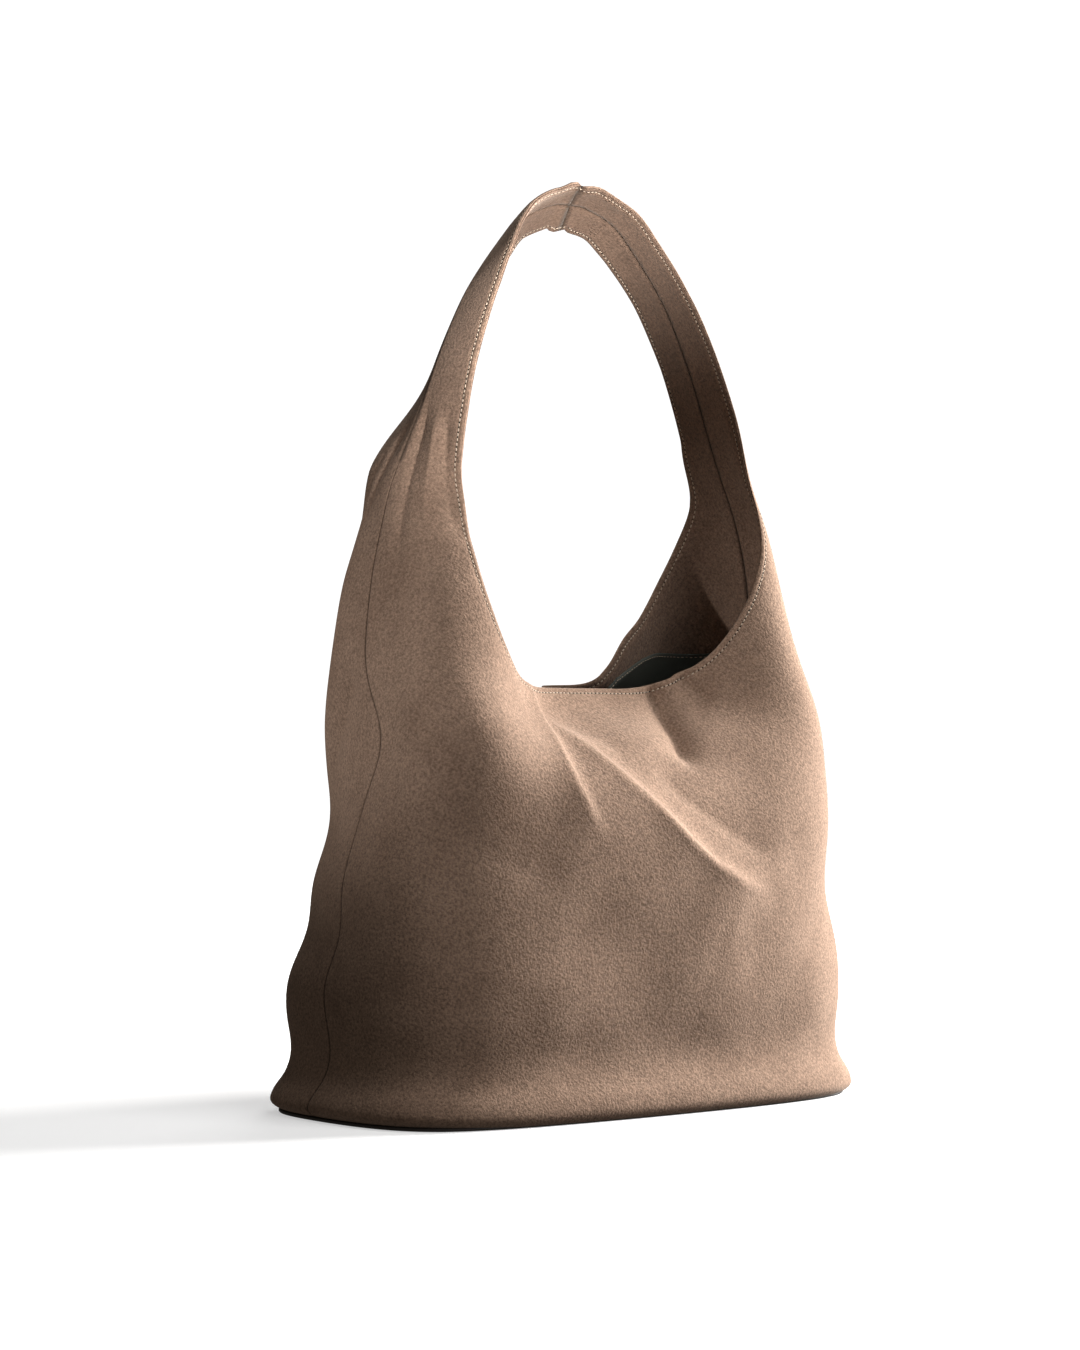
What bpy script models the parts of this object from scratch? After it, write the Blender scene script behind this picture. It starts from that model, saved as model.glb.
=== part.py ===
"""A slouchy suede hobo bag: two big panels that run on up into one wide shoulder strap.

Frame: metres, +Z up, X across the width, the front faces -Y.
The origin is on the floor under the middle of the base.

The bag is a set of nested layers that all follow one reference surface, the outside of the suede.
That surface is worked out for one quarter (x and y both positive) and mirrored. A layer is a patch
of it, moved inwards along the surface's normals and given a thickness. The suede panels are outside,
then come the seam and strap tapes, then the suede facings (top) and the lining (below).

The strap folds down about an axis along X through its two roots. Round each root the suede of the
strap ends in a half circle about that axis, and the bag's shoulder ends below the sweep of the strap.
"""

import math

import bpy
import numpy as np

# ---- driving dimensions, metres ----------------------------------------------------------------
OVERALL_HEIGHT = 0.580
BASE_HALF_WIDTH = 0.188
BASE_HALF_DEPTH = 0.103
LIP_HEIGHT = 0.260
LIP_HALF_GAP = 0.018

HINGE_HEIGHT = 0.400
STRAP_ROOT_RADIUS = 0.0355
STRAP_HALF_WIDTH = 0.032
STRAP_FOLD_LIMIT = math.radians(110)
SWEEP_CLEARANCE = 0.0015

# Each layer is (depth of its outer face, depth of its inner face) below the reference surface.
SUEDE = (0.0, 0.0016)
TAPE = (0.0020, 0.0030)
FACING = (0.0034, 0.0046)
LINING = (0.0034, 0.0042)

SEAM_HALF_GAP = 0.0002
CROWN_SEAM_HALF_GAP = 0.0012
THREAD_RADIUS = 0.0004
THREAD_LIFT = 0.0012
LIP_THREAD_LIFT = 0.0020
STITCH_INSET = 0.0045

BASE_PANEL_HEIGHTS = (0.0, 0.0020)
BASE_BOARD_HEIGHTS = (0.0024, 0.0044)
BASE_LINING_HEIGHTS = (0.0048, 0.0056)
BASE_PANEL_INSET = 0.0040
BASE_BOARD_INSET = 0.0065
BASE_LINING_INSET = 0.0080
LINING_START = 0.0090
FACING_EDGE_GAP = 0.0006
TAPE_SHARE_OF_SIDE = 0.12
TAPE_SHARE_OF_STRAP = 0.60
CORNER_SQUARENESS = 0.86

ROWS_BELOW_LIP = 14
ROWS_ABOVE_LIP = 8
COLUMNS = 11
STRAP_ROWS = 15
STRAP_COLUMNS = 5

# Stations up the bag below the lip: height at the side seam, height at the middle of the front,
# half width, half depth, and how far the middle of the Bezier rib bellies beyond the half depth.
LOWER_STATIONS = (
    (0.000, 0.000, BASE_HALF_WIDTH, BASE_HALF_DEPTH, 0.000),
    (0.005, 0.005, 0.195, 0.107, 0.000),
    (0.014, 0.014, 0.193, 0.106, 0.000),
    (0.034, 0.034, 0.184, 0.099, 0.000),
    (0.060, 0.060, 0.186, 0.101, 0.000),
    (0.100, 0.100, 0.186, 0.102, 0.000),
    (0.150, 0.147, 0.182, 0.099, 0.001),
    (0.200, 0.190, 0.175, 0.090, 0.004),
    (0.240, 0.226, 0.168, 0.068, 0.020),
    (0.268, 0.249, 0.161, 0.040, 0.040),
    (0.288, LIP_HEIGHT, 0.156, LIP_HALF_GAP, 0.054),
)
# Where the lining ends and the facing starts, in stations counted from the floor, and the distance
# within which an ordinary row gives way to the pair of rows there.
FACING_STATION = 8.4
FACING_ROW_CLEARANCE = 0.25

# Stations above the lip: side seam (x, z), mouth edge (x, y, z), reach of the rib's side (y),
# and its belly (x, y, z).
UPPER_STATIONS = (
    ((0.1560, 0.288), (0.000, LIP_HALF_GAP, LIP_HEIGHT), 0.060, (0.134, 0.072, 0.274)),
    ((0.1525, 0.305), (0.042, 0.020, 0.263), 0.056, (0.134, 0.070, 0.284)),
    ((0.1490, 0.322), (0.074, 0.026, 0.280), 0.050, (0.134, 0.064, 0.298)),
    ((0.1440, 0.341), (0.098, 0.032, 0.309), 0.042, (0.134, 0.056, 0.318)),
    ((0.1380, 0.360), (0.113, 0.0355, 0.3455), 0.032, (0.131, 0.048, 0.343)),
)

# The line of the strap's outer seam, (x, z), from the root to the crown.
STRAP_LINE = (
    (0.1365, HINGE_HEIGHT - STRAP_ROOT_RADIUS),
    (0.1280, 0.390),
    (0.1185, 0.420),
    (0.1060, 0.457),
    (0.0880, 0.497),
    (0.0630, 0.538),
    (0.0330, 0.568),
    (0.0000, OVERALL_HEIGHT),
)
STRAP_ROOT_CURL = 0.020
STRAP_CURL = 0.004
STRAP_ROOT_SHARE = 0.4
STRAP_STITCH_FIRST_ROW = 3

ON_MIDDLE_TOLERANCE = 1e-6
SMALLEST_LENGTH = 1e-9
SHARP_EDGE_ANGLE = math.radians(40)

# ---- colours: (red, green, blue), roughness, metallic ------------------------------------------
TAUPE_SUEDE = ((0.24, 0.17, 0.125), 0.95, 0.0)
DARK_LEATHER = ((0.035, 0.026, 0.022), 0.70, 0.0)
GREY_LINING = ((0.075, 0.080, 0.072), 0.75, 0.0)
WOVEN_TAPE = ((0.30, 0.26, 0.22), 0.90, 0.0)
FIBRE_BOARD = ((0.10, 0.085, 0.07), 0.80, 0.0)
BEIGE_THREAD = ((0.50, 0.40, 0.30), 0.80, 0.0)


def clear_scene():
    for item in list(bpy.data.objects):
        bpy.data.objects.remove(item, do_unlink=True)


def make_material(name, finish):
    colour, roughness, metallic = finish
    material = bpy.data.materials.new(name)
    material.use_nodes = True
    shader = material.node_tree.nodes["Principled BSDF"]
    shader.inputs["Base Color"].default_value = (*colour, 1.0)
    shader.inputs["Roughness"].default_value = roughness
    shader.inputs["Metallic"].default_value = metallic
    return material


def add_object(name, data, finish):
    thing = bpy.data.objects.new(name, data)
    thing.data.materials.append(make_material(name, finish))
    bpy.context.scene.collection.objects.link(thing)
    return thing


# ---- curves ------------------------------------------------------------------------------------
def through(points, places):
    """Smooth values at the given places on a curve through equally spaced points, counted from 0."""
    points = np.asarray(points, float)
    slopes = np.gradient(points, axis=0)
    places = np.clip(np.asarray(places, float), 0, len(points) - 1)
    first = np.minimum(places.astype(int), len(points) - 2)
    t = (places - first)[:, None]
    a, b = points[first], points[first + 1]
    slope_a, slope_b = slopes[first], slopes[first + 1]
    return (
        (2 * t**3 - 3 * t**2 + 1) * a
        + (t**3 - 2 * t**2 + t) * slope_a
        + (3 * t**2 - 2 * t**3) * b
        + (t**3 - t**2) * slope_b
    )


def bezier(start, start_pull, end_pull, end, t):
    t = t[:, None]
    return (
        (1 - t) ** 3 * start
        + 3 * (1 - t) ** 2 * t * start_pull
        + 3 * (1 - t) * t**2 * end_pull
        + t**3 * end
    )


# ---- the reference surface of one quarter ------------------------------------------------------
def lower_rib(station, t):
    side_height, middle_height, half_width, half_depth, belly = station
    belly_height = 0.5 * (side_height + middle_height)
    return bezier(
        np.array((half_width, 0.0, side_height)),
        np.array((half_width, CORNER_SQUARENESS * (half_depth + belly), side_height)),
        np.array((CORNER_SQUARENESS * half_width, half_depth + belly, belly_height)),
        np.array((0.0, half_depth, middle_height)),
        t,
    )


def upper_rib(station, t):
    seam_x, seam_z = station[:2]
    edge, reach, belly = station[2:5], station[5], station[6:9]
    return bezier(
        np.array((seam_x, 0.0, seam_z)),
        np.array((seam_x, reach, seam_z)),
        belly,
        edge,
        t,
    )


def bag_places():
    """Row places up to the lip, a pair of them close together where lining meets facing."""
    last = len(LOWER_STATIONS) - 1
    below = int(FACING_STATION)
    step_length = LOWER_STATIONS[below + 1][0] - LOWER_STATIONS[below][0]
    half_gap = 0.5 * FACING_EDGE_GAP / step_length
    places = list(np.linspace(0.0, last, ROWS_BELOW_LIP))
    places = [place for place in places if abs(place - FACING_STATION) > FACING_ROW_CLEARANCE]
    places += [FACING_STATION - half_gap, FACING_STATION + half_gap]
    return np.array(sorted(places))


def bag_quarter(lower_places, upper_places):
    """Rows of points from the floor to the shoulder, columns from side seam to middle or mouth edge."""
    t = np.linspace(0, 1, COLUMNS)
    lower = through(LOWER_STATIONS, lower_places)
    flat_stations = [(*seam, *edge, reach, *belly) for seam, edge, reach, belly in UPPER_STATIONS]
    upper = through(flat_stations, upper_places)
    rows = [lower_rib(station, t) for station in lower]
    rows += [upper_rib(station, t) for station in upper]
    points = np.array(rows)
    keep_below_sweep(points[-1])
    return points


def keep_below_sweep(row):
    """Lower the shoulder's last row to the line under which the folded strap never reaches."""
    slope = math.tan(0.5 * math.pi - (math.pi - STRAP_FOLD_LIMIT))
    drop = STRAP_ROOT_RADIUS / math.cos(0.5 * math.pi - (math.pi - STRAP_FOLD_LIMIT)) + SWEEP_CLEARANCE
    ceiling = HINGE_HEIGHT - drop - slope * row[:, 1]
    row[:, 2] = np.minimum(row[:, 2], ceiling)


def root_drop(y):
    """How far the half circle round the strap's root is below the hinge at distance y from the middle."""
    return np.sqrt(np.maximum(STRAP_ROOT_RADIUS**2 - y**2, 0))


def strap_quarter(places):
    """Rows of points from the strap's root to its crown, columns from outer seam to mouth edge."""
    beyond_crown = (-STRAP_LINE[-2][0], STRAP_LINE[-2][1])
    line = through((*STRAP_LINE, beyond_crown), places)
    tangent = np.gradient(line, axis=0)
    tangent[-1] = (-1.0, 0.0)
    tangent /= np.linalg.norm(tangent, axis=1)[:, None]
    inward = np.stack((-tangent[:, 1], tangent[:, 0]), axis=1)
    share = np.linspace(0, 1, STRAP_ROWS)
    root_share = np.clip(1 - share / STRAP_ROOT_SHARE, 0, 1) ** 2
    across = np.sin(0.5 * np.pi * np.linspace(0, 1, STRAP_COLUMNS))
    points = np.zeros((STRAP_ROWS, STRAP_COLUMNS, 3))
    for row in range(STRAP_ROWS):
        half_width = STRAP_HALF_WIDTH + (STRAP_ROOT_RADIUS - STRAP_HALF_WIDTH) * root_share[row]
        curl = STRAP_CURL + (STRAP_ROOT_CURL - STRAP_CURL) * root_share[row]
        y = half_width * across
        end_rise = root_share[row] * (STRAP_ROOT_RADIUS - root_drop(y))
        flat = line[row] + np.outer(curl * across**2, inward[row]) + np.outer(end_rise, tangent[row])
        points[row] = np.stack((flat[:, 0], y, flat[:, 1]), axis=1)
    points[0, :, 2] = HINGE_HEIGHT - root_drop(points[0, :, 1])
    return points


def outward_normals(points, places):
    """Unit normals of a quarter, square to the mirror planes where the quarter meets them."""
    normals = np.cross(np.gradient(points, axis=1), np.gradient(points, places, axis=0))
    normals[:, 0, 1] = 0.0
    on_middle = np.abs(points[:, :, 0]) < ON_MIDDLE_TOLERANCE
    normals[on_middle, 0] = 0.0
    return normals / np.maximum(np.linalg.norm(normals, axis=2, keepdims=True), SMALLEST_LENGTH)


class Quarter:
    """The reference surface of a quarter; layers read their corners from it."""

    def __init__(self, points, places, split_row):
        self.points = points
        self.normals = outward_normals(points, places)
        self.split_row = split_row

    def corner(self, side, face, row, column, depth, half_gap=SEAM_HALF_GAP, crown_gap=SEAM_HALF_GAP):
        """A corner of a layer at a depth, kept clear of the side seam and of the seam over the crown."""
        x, y, z = self.points[row, column] - depth * self.normals[row, column]
        if half_gap is not None:
            y = max(y, half_gap)
        if self.split_row is None:
            x = max(x, crown_gap)
        return (side * x, face * y, z)

    def key(self, side, face, row, column, joined_faces):
        """Corners that two quarters share get the same key, so that the patch is one body."""
        on_middle = self.split_row is not None and column == COLUMNS - 1 and row <= self.split_row
        shared_face = 0 if (joined_faces and column == 0) else face
        return (0 if on_middle else side, shared_face, row, column)


# ---- solids ------------------------------------------------------------------------------------
def add_solid(name, corners, faces, finish):
    mesh = bpy.data.meshes.new(name)
    mesh.from_pydata(corners, [], faces)
    mesh.update()
    mesh.shade_smooth()
    mesh.set_sharp_from_angle(angle=SHARP_EDGE_ANGLE)
    return add_object(name, mesh, finish)


def boundary_edges(faces):
    """Directed edges that belong to one face only."""
    directed = {(face[n], face[(n + 1) % len(face)]) for face in faces for n in range(len(face))}
    return [(a, b) for a, b in directed if (b, a) not in directed]


def add_layer(
    name, quarter, quarters, rows, columns, layer, finish, joined_faces=False, crown_gap=SEAM_HALF_GAP
):
    """A patch of the reference surface with a thickness.

    quarters lists (side, face) signs; rows and columns are ranges. Every layer splits a cell of the
    surface along the same diagonal, so nested layers stay parallel."""
    outer_depth, inner_depth = layer
    half_gap = None if joined_faces else SEAM_HALF_GAP
    index = {}
    outer = []
    inner = []
    faces = []
    for side, face in quarters:
        for row in range(rows[0], rows[1]):
            for column in range(columns[0], columns[1]):
                quad = []
                for r, c in ((row, column), (row, column + 1), (row + 1, column + 1), (row + 1, column)):
                    key = quarter.key(side, face, r, c, joined_faces)
                    if key not in index:
                        index[key] = len(outer)
                        outer.append(quarter.corner(side, face, r, c, outer_depth, half_gap, crown_gap))
                        inner.append(quarter.corner(side, face, r, c, inner_depth, half_gap, crown_gap))
                    quad.append(index[key])
                low_inner, low_outer, high_outer, high_inner = quad
                halves = ((low_inner, low_outer, high_outer), (low_inner, high_outer, high_inner))
                faces += [half[::-1] if side * face > 0 else half for half in halves]
    count = len(outer)
    solid_faces = [face[::-1] for face in faces]
    solid_faces += [tuple(corner + count for corner in face) for face in faces]
    solid_faces += [(a, b, b + count, a + count) for a, b in boundary_edges(faces)]
    return add_solid(name, outer + inner, solid_faces, finish)


def add_plate(name, outline, heights, finish):
    """A flat plate of the given outline between two heights."""
    count = len(outline)
    corners = [(x, y, height) for height in heights for x, y in outline]
    faces = [tuple(range(count - 1, -1, -1)), tuple(range(count, 2 * count))]
    faces += [(n, (n + 1) % count, count + (n + 1) % count, count + n) for n in range(count)]
    return add_solid(name, corners, faces, finish)


def base_outline(inset):
    """The bag's outline on the floor, moved inwards, anticlockwise from above."""
    t = np.linspace(0, 1, COLUMNS)
    quarter = lower_rib(np.array(LOWER_STATIONS[0]) - (0, 0, inset, inset, 0), t)[:, :2]
    turn = []
    for side, face in ((1, 1), (-1, 1), (-1, -1), (1, -1)):
        points = quarter * (side, face)
        if side * face < 0:
            points = points[::-1]
        turn += [tuple(point) for point in points[:-1]]
    return turn


def add_thread(name, points, finish, closed=False):
    """A line of stitching as one continuous thread of small round section."""
    curve = bpy.data.curves.new(name, "CURVE")
    curve.dimensions = "3D"
    curve.bevel_depth = THREAD_RADIUS
    curve.bevel_resolution = 0
    curve.use_fill_caps = True
    spline = curve.splines.new("POLY")
    spline.points.add(len(points) - 1)
    for place, point in zip(spline.points, points):
        place.co = (*point, 1.0)
    spline.use_cyclic_u = closed
    return add_object(name, curve, finish)


def stitch_line(quarter, rows, lift):
    """Points lifted off the suede, a stitch inset away from the mouth edge, for a range of rows."""
    edge = quarter.points[:, -1]
    along = np.gradient(edge, axis=0)
    along /= np.linalg.norm(along, axis=1)[:, None]
    into_panel = np.cross(quarter.normals[:, -1], along)
    places = edge + STITCH_INSET * into_panel + lift * quarter.normals[:, -1]
    return places[rows[0] : rows[1]]


def mirrored(points, side, face):
    return [(side * x, face * y, z) for x, y, z in points]


# ---- the sub-parts -----------------------------------------------------------------------------
SIDES = (("left", -1), ("right", 1))
FACES = (("front", -1), ("back", 1))


def build_bag(bag, facing_row):
    """Everything below the strap: panels, facings, lining, seam tapes, base and stitching."""
    last_row = len(bag.points) - 1
    last_column = COLUMNS - 1
    tape_columns = round(TAPE_SHARE_OF_SIDE * last_column) + 1
    first_lining_row = int(np.argmax(bag.points[:, 0, 2] > LINING_START))
    for face_name, face in FACES:
        quarters = [(side, face) for _, side in SIDES]
        whole = (0, last_column)
        panel_rows = (0, last_row)
        facing_rows = (facing_row, last_row)
        lining_rows = (first_lining_row, facing_row - 1)
        add_layer(f"{face_name}_panel", bag, quarters, panel_rows, whole, SUEDE, TAUPE_SUEDE)
        add_layer(f"{face_name}_facing", bag, quarters, facing_rows, whole, FACING, TAUPE_SUEDE)
        add_layer(f"{face_name}_lining", bag, quarters, lining_rows, whole, LINING, GREY_LINING)
        add_thread(f"{face_name}_lip_stitch", lip_stitch_points(bag, face), BEIGE_THREAD)
    for side_name, side in SIDES:
        quarters = [(side, face) for _, face in FACES]
        add_layer(
            f"seam_tape_{side_name}",
            bag,
            quarters,
            (first_lining_row, last_row),
            (0, tape_columns),
            TAPE,
            WOVEN_TAPE,
            joined_faces=True,
        )
    add_thread("lining_stitch", lining_stitch_points(bag, facing_row - 1), BEIGE_THREAD, closed=True)
    add_plate("base_panel", base_outline(BASE_PANEL_INSET), BASE_PANEL_HEIGHTS, DARK_LEATHER)
    add_plate("base_board", base_outline(BASE_BOARD_INSET), BASE_BOARD_HEIGHTS, FIBRE_BOARD)
    add_plate("base_lining", base_outline(BASE_LINING_INSET), BASE_LINING_HEIGHTS, GREY_LINING)


def lip_stitch_points(bag, face):
    """From the left shoulder down round the mouth and up to the right shoulder."""
    branch = stitch_line(bag, (bag.split_row + 1, len(bag.points)), LIP_THREAD_LIFT)
    middle = bag.points[bag.split_row, -1]
    down = bag.points[bag.split_row - 1, -1] - middle
    down /= np.linalg.norm(down)
    lowest = middle + STITCH_INSET * down + LIP_THREAD_LIFT * bag.normals[bag.split_row, -1]
    left = mirrored(branch[::-1], -1, face)
    right = mirrored(branch, 1, face)
    return left + mirrored([lowest], 1, face) + right


def lining_stitch_points(bag, row):
    """A closed line round the inside of the lining's top edge."""
    turn = []
    for side, face in ((1, 1), (-1, 1), (-1, -1), (1, -1)):
        columns = range(COLUMNS - 1) if side * face > 0 else range(COLUMNS - 1, 0, -1)
        for column in columns:
            turn.append(bag.corner(side, face, row, column, LINING[1] + THREAD_LIFT, half_gap=0.0))
    return turn


def build_strap(strap):
    """The strap above the hinge: suede, facings, tapes and stitching, joined by a seam over the crown."""
    last_row = STRAP_ROWS - 1
    last_column = STRAP_COLUMNS - 1
    tape_columns = round(TAPE_SHARE_OF_STRAP * last_column)
    for side_name, side in SIDES:
        for face_name, face in FACES:
            quarters = [(side, face)]
            name = f"{face_name}_{side_name}"
            patch = ((0, last_row), (0, last_column))
            add_layer(f"strap_{name}", strap, quarters, *patch, SUEDE, TAUPE_SUEDE)
            add_layer(f"strap_facing_{name}", strap, quarters, *patch, FACING, TAUPE_SUEDE)
            line = stitch_line(strap, (STRAP_STITCH_FIRST_ROW, last_row), THREAD_LIFT)
            add_thread(f"strap_stitch_{name}", mirrored(line, side, face), BEIGE_THREAD)
        quarters = [(side, face) for _, face in FACES]
        add_layer(
            f"strap_tape_{side_name}",
            strap,
            quarters,
            (1, last_row),
            (0, tape_columns),
            TAPE,
            WOVEN_TAPE,
            joined_faces=True,
            crown_gap=CROWN_SEAM_HALF_GAP,
        )
    depth = 0.5 * (TAPE[0] + TAPE[1])
    half = [strap.corner(1, 1, last_row, column, depth, 0.0, 0.0) for column in range(tape_columns)]
    crown = mirrored(half[:0:-1], 1, -1) + half
    add_thread("crown_seam_stitch", crown, BEIGE_THREAD)


def main():
    clear_scene()
    lower_places = bag_places()
    upper_places = np.linspace(0, len(UPPER_STATIONS) - 1, ROWS_ABOVE_LIP)[1:]
    all_places = np.concatenate((lower_places, lower_places[-1] + upper_places))
    bag = Quarter(bag_quarter(lower_places, upper_places), all_places, split_row=len(lower_places) - 1)
    facing_row = int(np.argmax(lower_places > FACING_STATION))
    build_bag(bag, facing_row)
    strap_places = np.linspace(0, len(STRAP_LINE) - 1, STRAP_ROWS)
    build_strap(Quarter(strap_quarter(strap_places), strap_places, split_row=None))


main()
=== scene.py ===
"""Looks of the suede hobo bag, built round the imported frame.

Both suede panels run on up into the strap, so each is modelled as one sheet. A sheet's place has two coordinates:
    share  0 on the middle line of the panel, 1 on the side seam (a share of the half girth)
    climb  metres along the side seam, from the turned edge under the base up to the crown
large_surface() turns them into the outside of the suede, with the folds, sag and twist. A panel's grid is a fan of
lines from the mouth's edge out to the side seams and the bottom, and every layer inside follows it at a depth.
"""

import math

import bpy
import numpy as np
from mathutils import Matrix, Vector
from mathutils.bvhtree import BVHTree


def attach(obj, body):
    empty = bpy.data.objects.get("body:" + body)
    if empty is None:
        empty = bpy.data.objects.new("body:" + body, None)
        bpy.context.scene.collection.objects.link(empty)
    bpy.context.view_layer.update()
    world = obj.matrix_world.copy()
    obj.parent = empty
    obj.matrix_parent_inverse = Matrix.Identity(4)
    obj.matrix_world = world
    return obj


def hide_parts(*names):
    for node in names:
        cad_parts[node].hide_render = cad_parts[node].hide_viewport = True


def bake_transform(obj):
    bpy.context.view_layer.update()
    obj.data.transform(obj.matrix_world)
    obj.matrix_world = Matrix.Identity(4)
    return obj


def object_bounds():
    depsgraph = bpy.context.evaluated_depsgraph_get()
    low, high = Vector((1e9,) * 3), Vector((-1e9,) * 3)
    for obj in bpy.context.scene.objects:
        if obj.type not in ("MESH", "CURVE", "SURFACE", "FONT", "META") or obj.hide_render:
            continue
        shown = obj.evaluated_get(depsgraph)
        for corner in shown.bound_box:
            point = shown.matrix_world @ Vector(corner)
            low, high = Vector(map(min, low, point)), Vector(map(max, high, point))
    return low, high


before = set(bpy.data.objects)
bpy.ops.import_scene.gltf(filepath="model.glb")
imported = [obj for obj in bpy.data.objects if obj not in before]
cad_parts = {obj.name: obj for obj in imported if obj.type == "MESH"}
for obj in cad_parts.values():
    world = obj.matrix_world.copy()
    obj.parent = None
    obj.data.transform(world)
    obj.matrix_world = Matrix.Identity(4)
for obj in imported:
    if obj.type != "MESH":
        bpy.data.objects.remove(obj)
cad_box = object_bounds()
TOP = max(corner[2] for corner in cad_box)
HALF_WIDTH = max(corner[0] for corner in cad_box)
HALF_DEPTH = max(corner[1] for corner in cad_box)

# The stations below are for a bag of this size; the frame's own size scales them.
STATION_SIZE = np.array((0.195, 0.107, 0.580))
TO_FRAME = np.array((HALF_WIDTH, HALF_DEPTH, TOP)) / STATION_SIZE

# Up the bag: height, half width, half depth, dip of the middle towards the other panel, half width of that dip.
BODY_STATIONS = (
    (0.0007, 0.1760, 0.0925, 0.000, 0.100),
    (0.0009, 0.1850, 0.0995, 0.000, 0.100),
    (0.0055, 0.1915, 0.1045, 0.000, 0.100),
    (0.0140, 0.1900, 0.1035, 0.000, 0.100),
    (0.0260, 0.1835, 0.0985, 0.000, 0.100),
    (0.0400, 0.1815, 0.0970, 0.000, 0.100),
    (0.0650, 0.1840, 0.1000, 0.000, 0.100),
    (0.1000, 0.1840, 0.1005, 0.000, 0.100),
    (0.1450, 0.1805, 0.0985, 0.001, 0.100),
    (0.1900, 0.1755, 0.0950, 0.008, 0.100),
    (0.2250, 0.1700, 0.0900, 0.026, 0.104),
    (0.2500, 0.1650, 0.0845, 0.052, 0.106),
    (0.2750, 0.1590, 0.0770, 0.058, 0.110),
    (0.3050, 0.1515, 0.0665, 0.050, 0.116),
    (0.3400, 0.1430, 0.0525, 0.030, 0.118),
    (0.3750, 0.1335, 0.0425, 0.012, 0.118),
    (0.4000, 0.1250, 0.0370, 0.004, 0.118),
)
# On up the strap's outer seam: (x, z).
STRAP_STATIONS = (
    (0.1165, 0.427),
    (0.1065, 0.455),
    (0.0945, 0.4815),
    (0.0800, 0.5075),
    (0.0605, 0.5325),
    (0.0380, 0.5550),
    (0.0140, 0.5652),
    (0.0000, 0.5662),
)
# The mouth's edge seen from the front, (x, z), from its lowest point to the strap's root, for each side and face.
MOUTH_EDGES = {
    (1, -1): ((0, 0.2600), (0.030, 0.2602), (0.056, 0.2655), (0.084, 0.2810), (0.105, 0.3080), (0.118, 0.3400), (0.120, 0.3720), (0.112, 0.3980)),
    (-1, -1): ((0, 0.2600), (0.030, 0.2600), (0.055, 0.2616), (0.0765, 0.2710), (0.0930, 0.2900), (0.1020, 0.3160), (0.1060, 0.3440), (0.1085, 0.3720), (0.1085, 0.3980)),
    (1, 1): ((0, 0.2610), (0.036, 0.2625), (0.054, 0.2730), (0.069, 0.2910), (0.088, 0.3060), (0.103, 0.3260), (0.112, 0.3500), (0.1155, 0.3750), (0.1115, 0.3980)),
    (-1, 1): ((0, 0.2610), (0.034, 0.2615), (0.062, 0.2690), (0.085, 0.2860), (0.101, 0.3140), (0.109, 0.3440), (0.112, 0.3720), (0.1105, 0.3980)),
}
SQUARENESS = 0.86
HALF_GIRTH = 0.262
STRAP_HALF_WIDTHS = (0.0335, 0.0280)
STRAP_CURL = 0.0035
STRAP_BLEND = (13.5, 17.5)
# How the strap is turned: metres from the crown, lean of its front edge outwards (radians), and how far its back
# half is folded in (sine of the angle).
STRAP_TURNS = {
    -1: ((0.00, 0.38, 0.00), (0.02, 0.46, 0.0), (0.04, 0.50, 0.05), (0.055, 0.44, 0.20), (0.075, 0.28, 0.45), (0.10, 0.12, 0.60), (0.13, 0.02, 0.64), (0.16, -0.08, 0.60), (0.19, -0.20, 0.45), (0.23, -0.26, 0.15), (0.27, -0.24, 0.0)),
    1: ((0.00, 0.38, 0.0), (0.03, 0.18, -0.05), (0.06, 0.06, -0.10), (0.10, 0.0, -0.14), (0.15, 0.0, -0.22), (0.20, 0.0, -0.24), (0.24, 0.0, 0.0)),
}
CROWN_SKEW = 0.38
CROWN_SKEW_REACH = 0.08

BOTTOM_LINES = 72
SEAM_LINES = 168
EDGE_STEPS = (0.0, 0.0007, 0.0016, 0.0026, 0.0035, 0.0044, 0.0056, 0.0076, 0.0110)
INNER_STEPS = 96
LIP_SHARE_OF_BOTTOM = 0.050
FAN_POWER = 2.3

# The hem at the left end is lifted by this much, so that the near-black base plate shows under it.
HEM_LIFT = 0.0015

SUEDE_THICKNESS = 0.0015
TAPE_DEPTHS = (0.0017, 0.0023)
TAPE_HALF_WIDTH = 0.006
FACING_DEPTHS = (0.0026, 0.0038)
FACING_EDGE_RISE = 0.0009
LINING_DEPTHS = (0.0041, 0.0048)
LINING_TOP_MIDDLE = 0.243
LINING_TOP_RISE = 0.040
LINING_TOP_SHARE = 0.55
FACING_LEAST = 0.014
LINING_BOTTOM_CLIMB = 0.032
STITCH_INSET = 0.0035
STITCH_PITCH = 0.0030
LINING_STITCH_INSET = 0.0022


# ---- curves and the domain ------------------------------------------------------------------------------------
def through(points, places):
    """Smooth values at the given places on a curve through numbered points."""
    points = np.asarray(points, float)
    slopes = np.gradient(points, axis=0)
    places = np.clip(np.asarray(places, float), 0, len(points) - 1)
    first = np.minimum(places.astype(int), len(points) - 2)
    t = (places - first)[..., None]
    a, b = points[first], points[first + 1]
    rise_a, rise_b = slopes[first], slopes[first + 1]
    return (
        (2 * t**3 - 3 * t**2 + 1) * a + (t**3 - 2 * t**2 + t) * rise_a + (3 * t**2 - 2 * t**3) * b + (t**3 - t**2) * rise_b
    )


def smooth(low, high, value):
    t = np.clip((np.asarray(value, float) - low) / (high - low), 0, 1)
    return t * t * (3 - 2 * t)


def bump(value, middle, width):
    return np.exp(-(((np.asarray(value, float) - middle) / width) ** 2))


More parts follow.
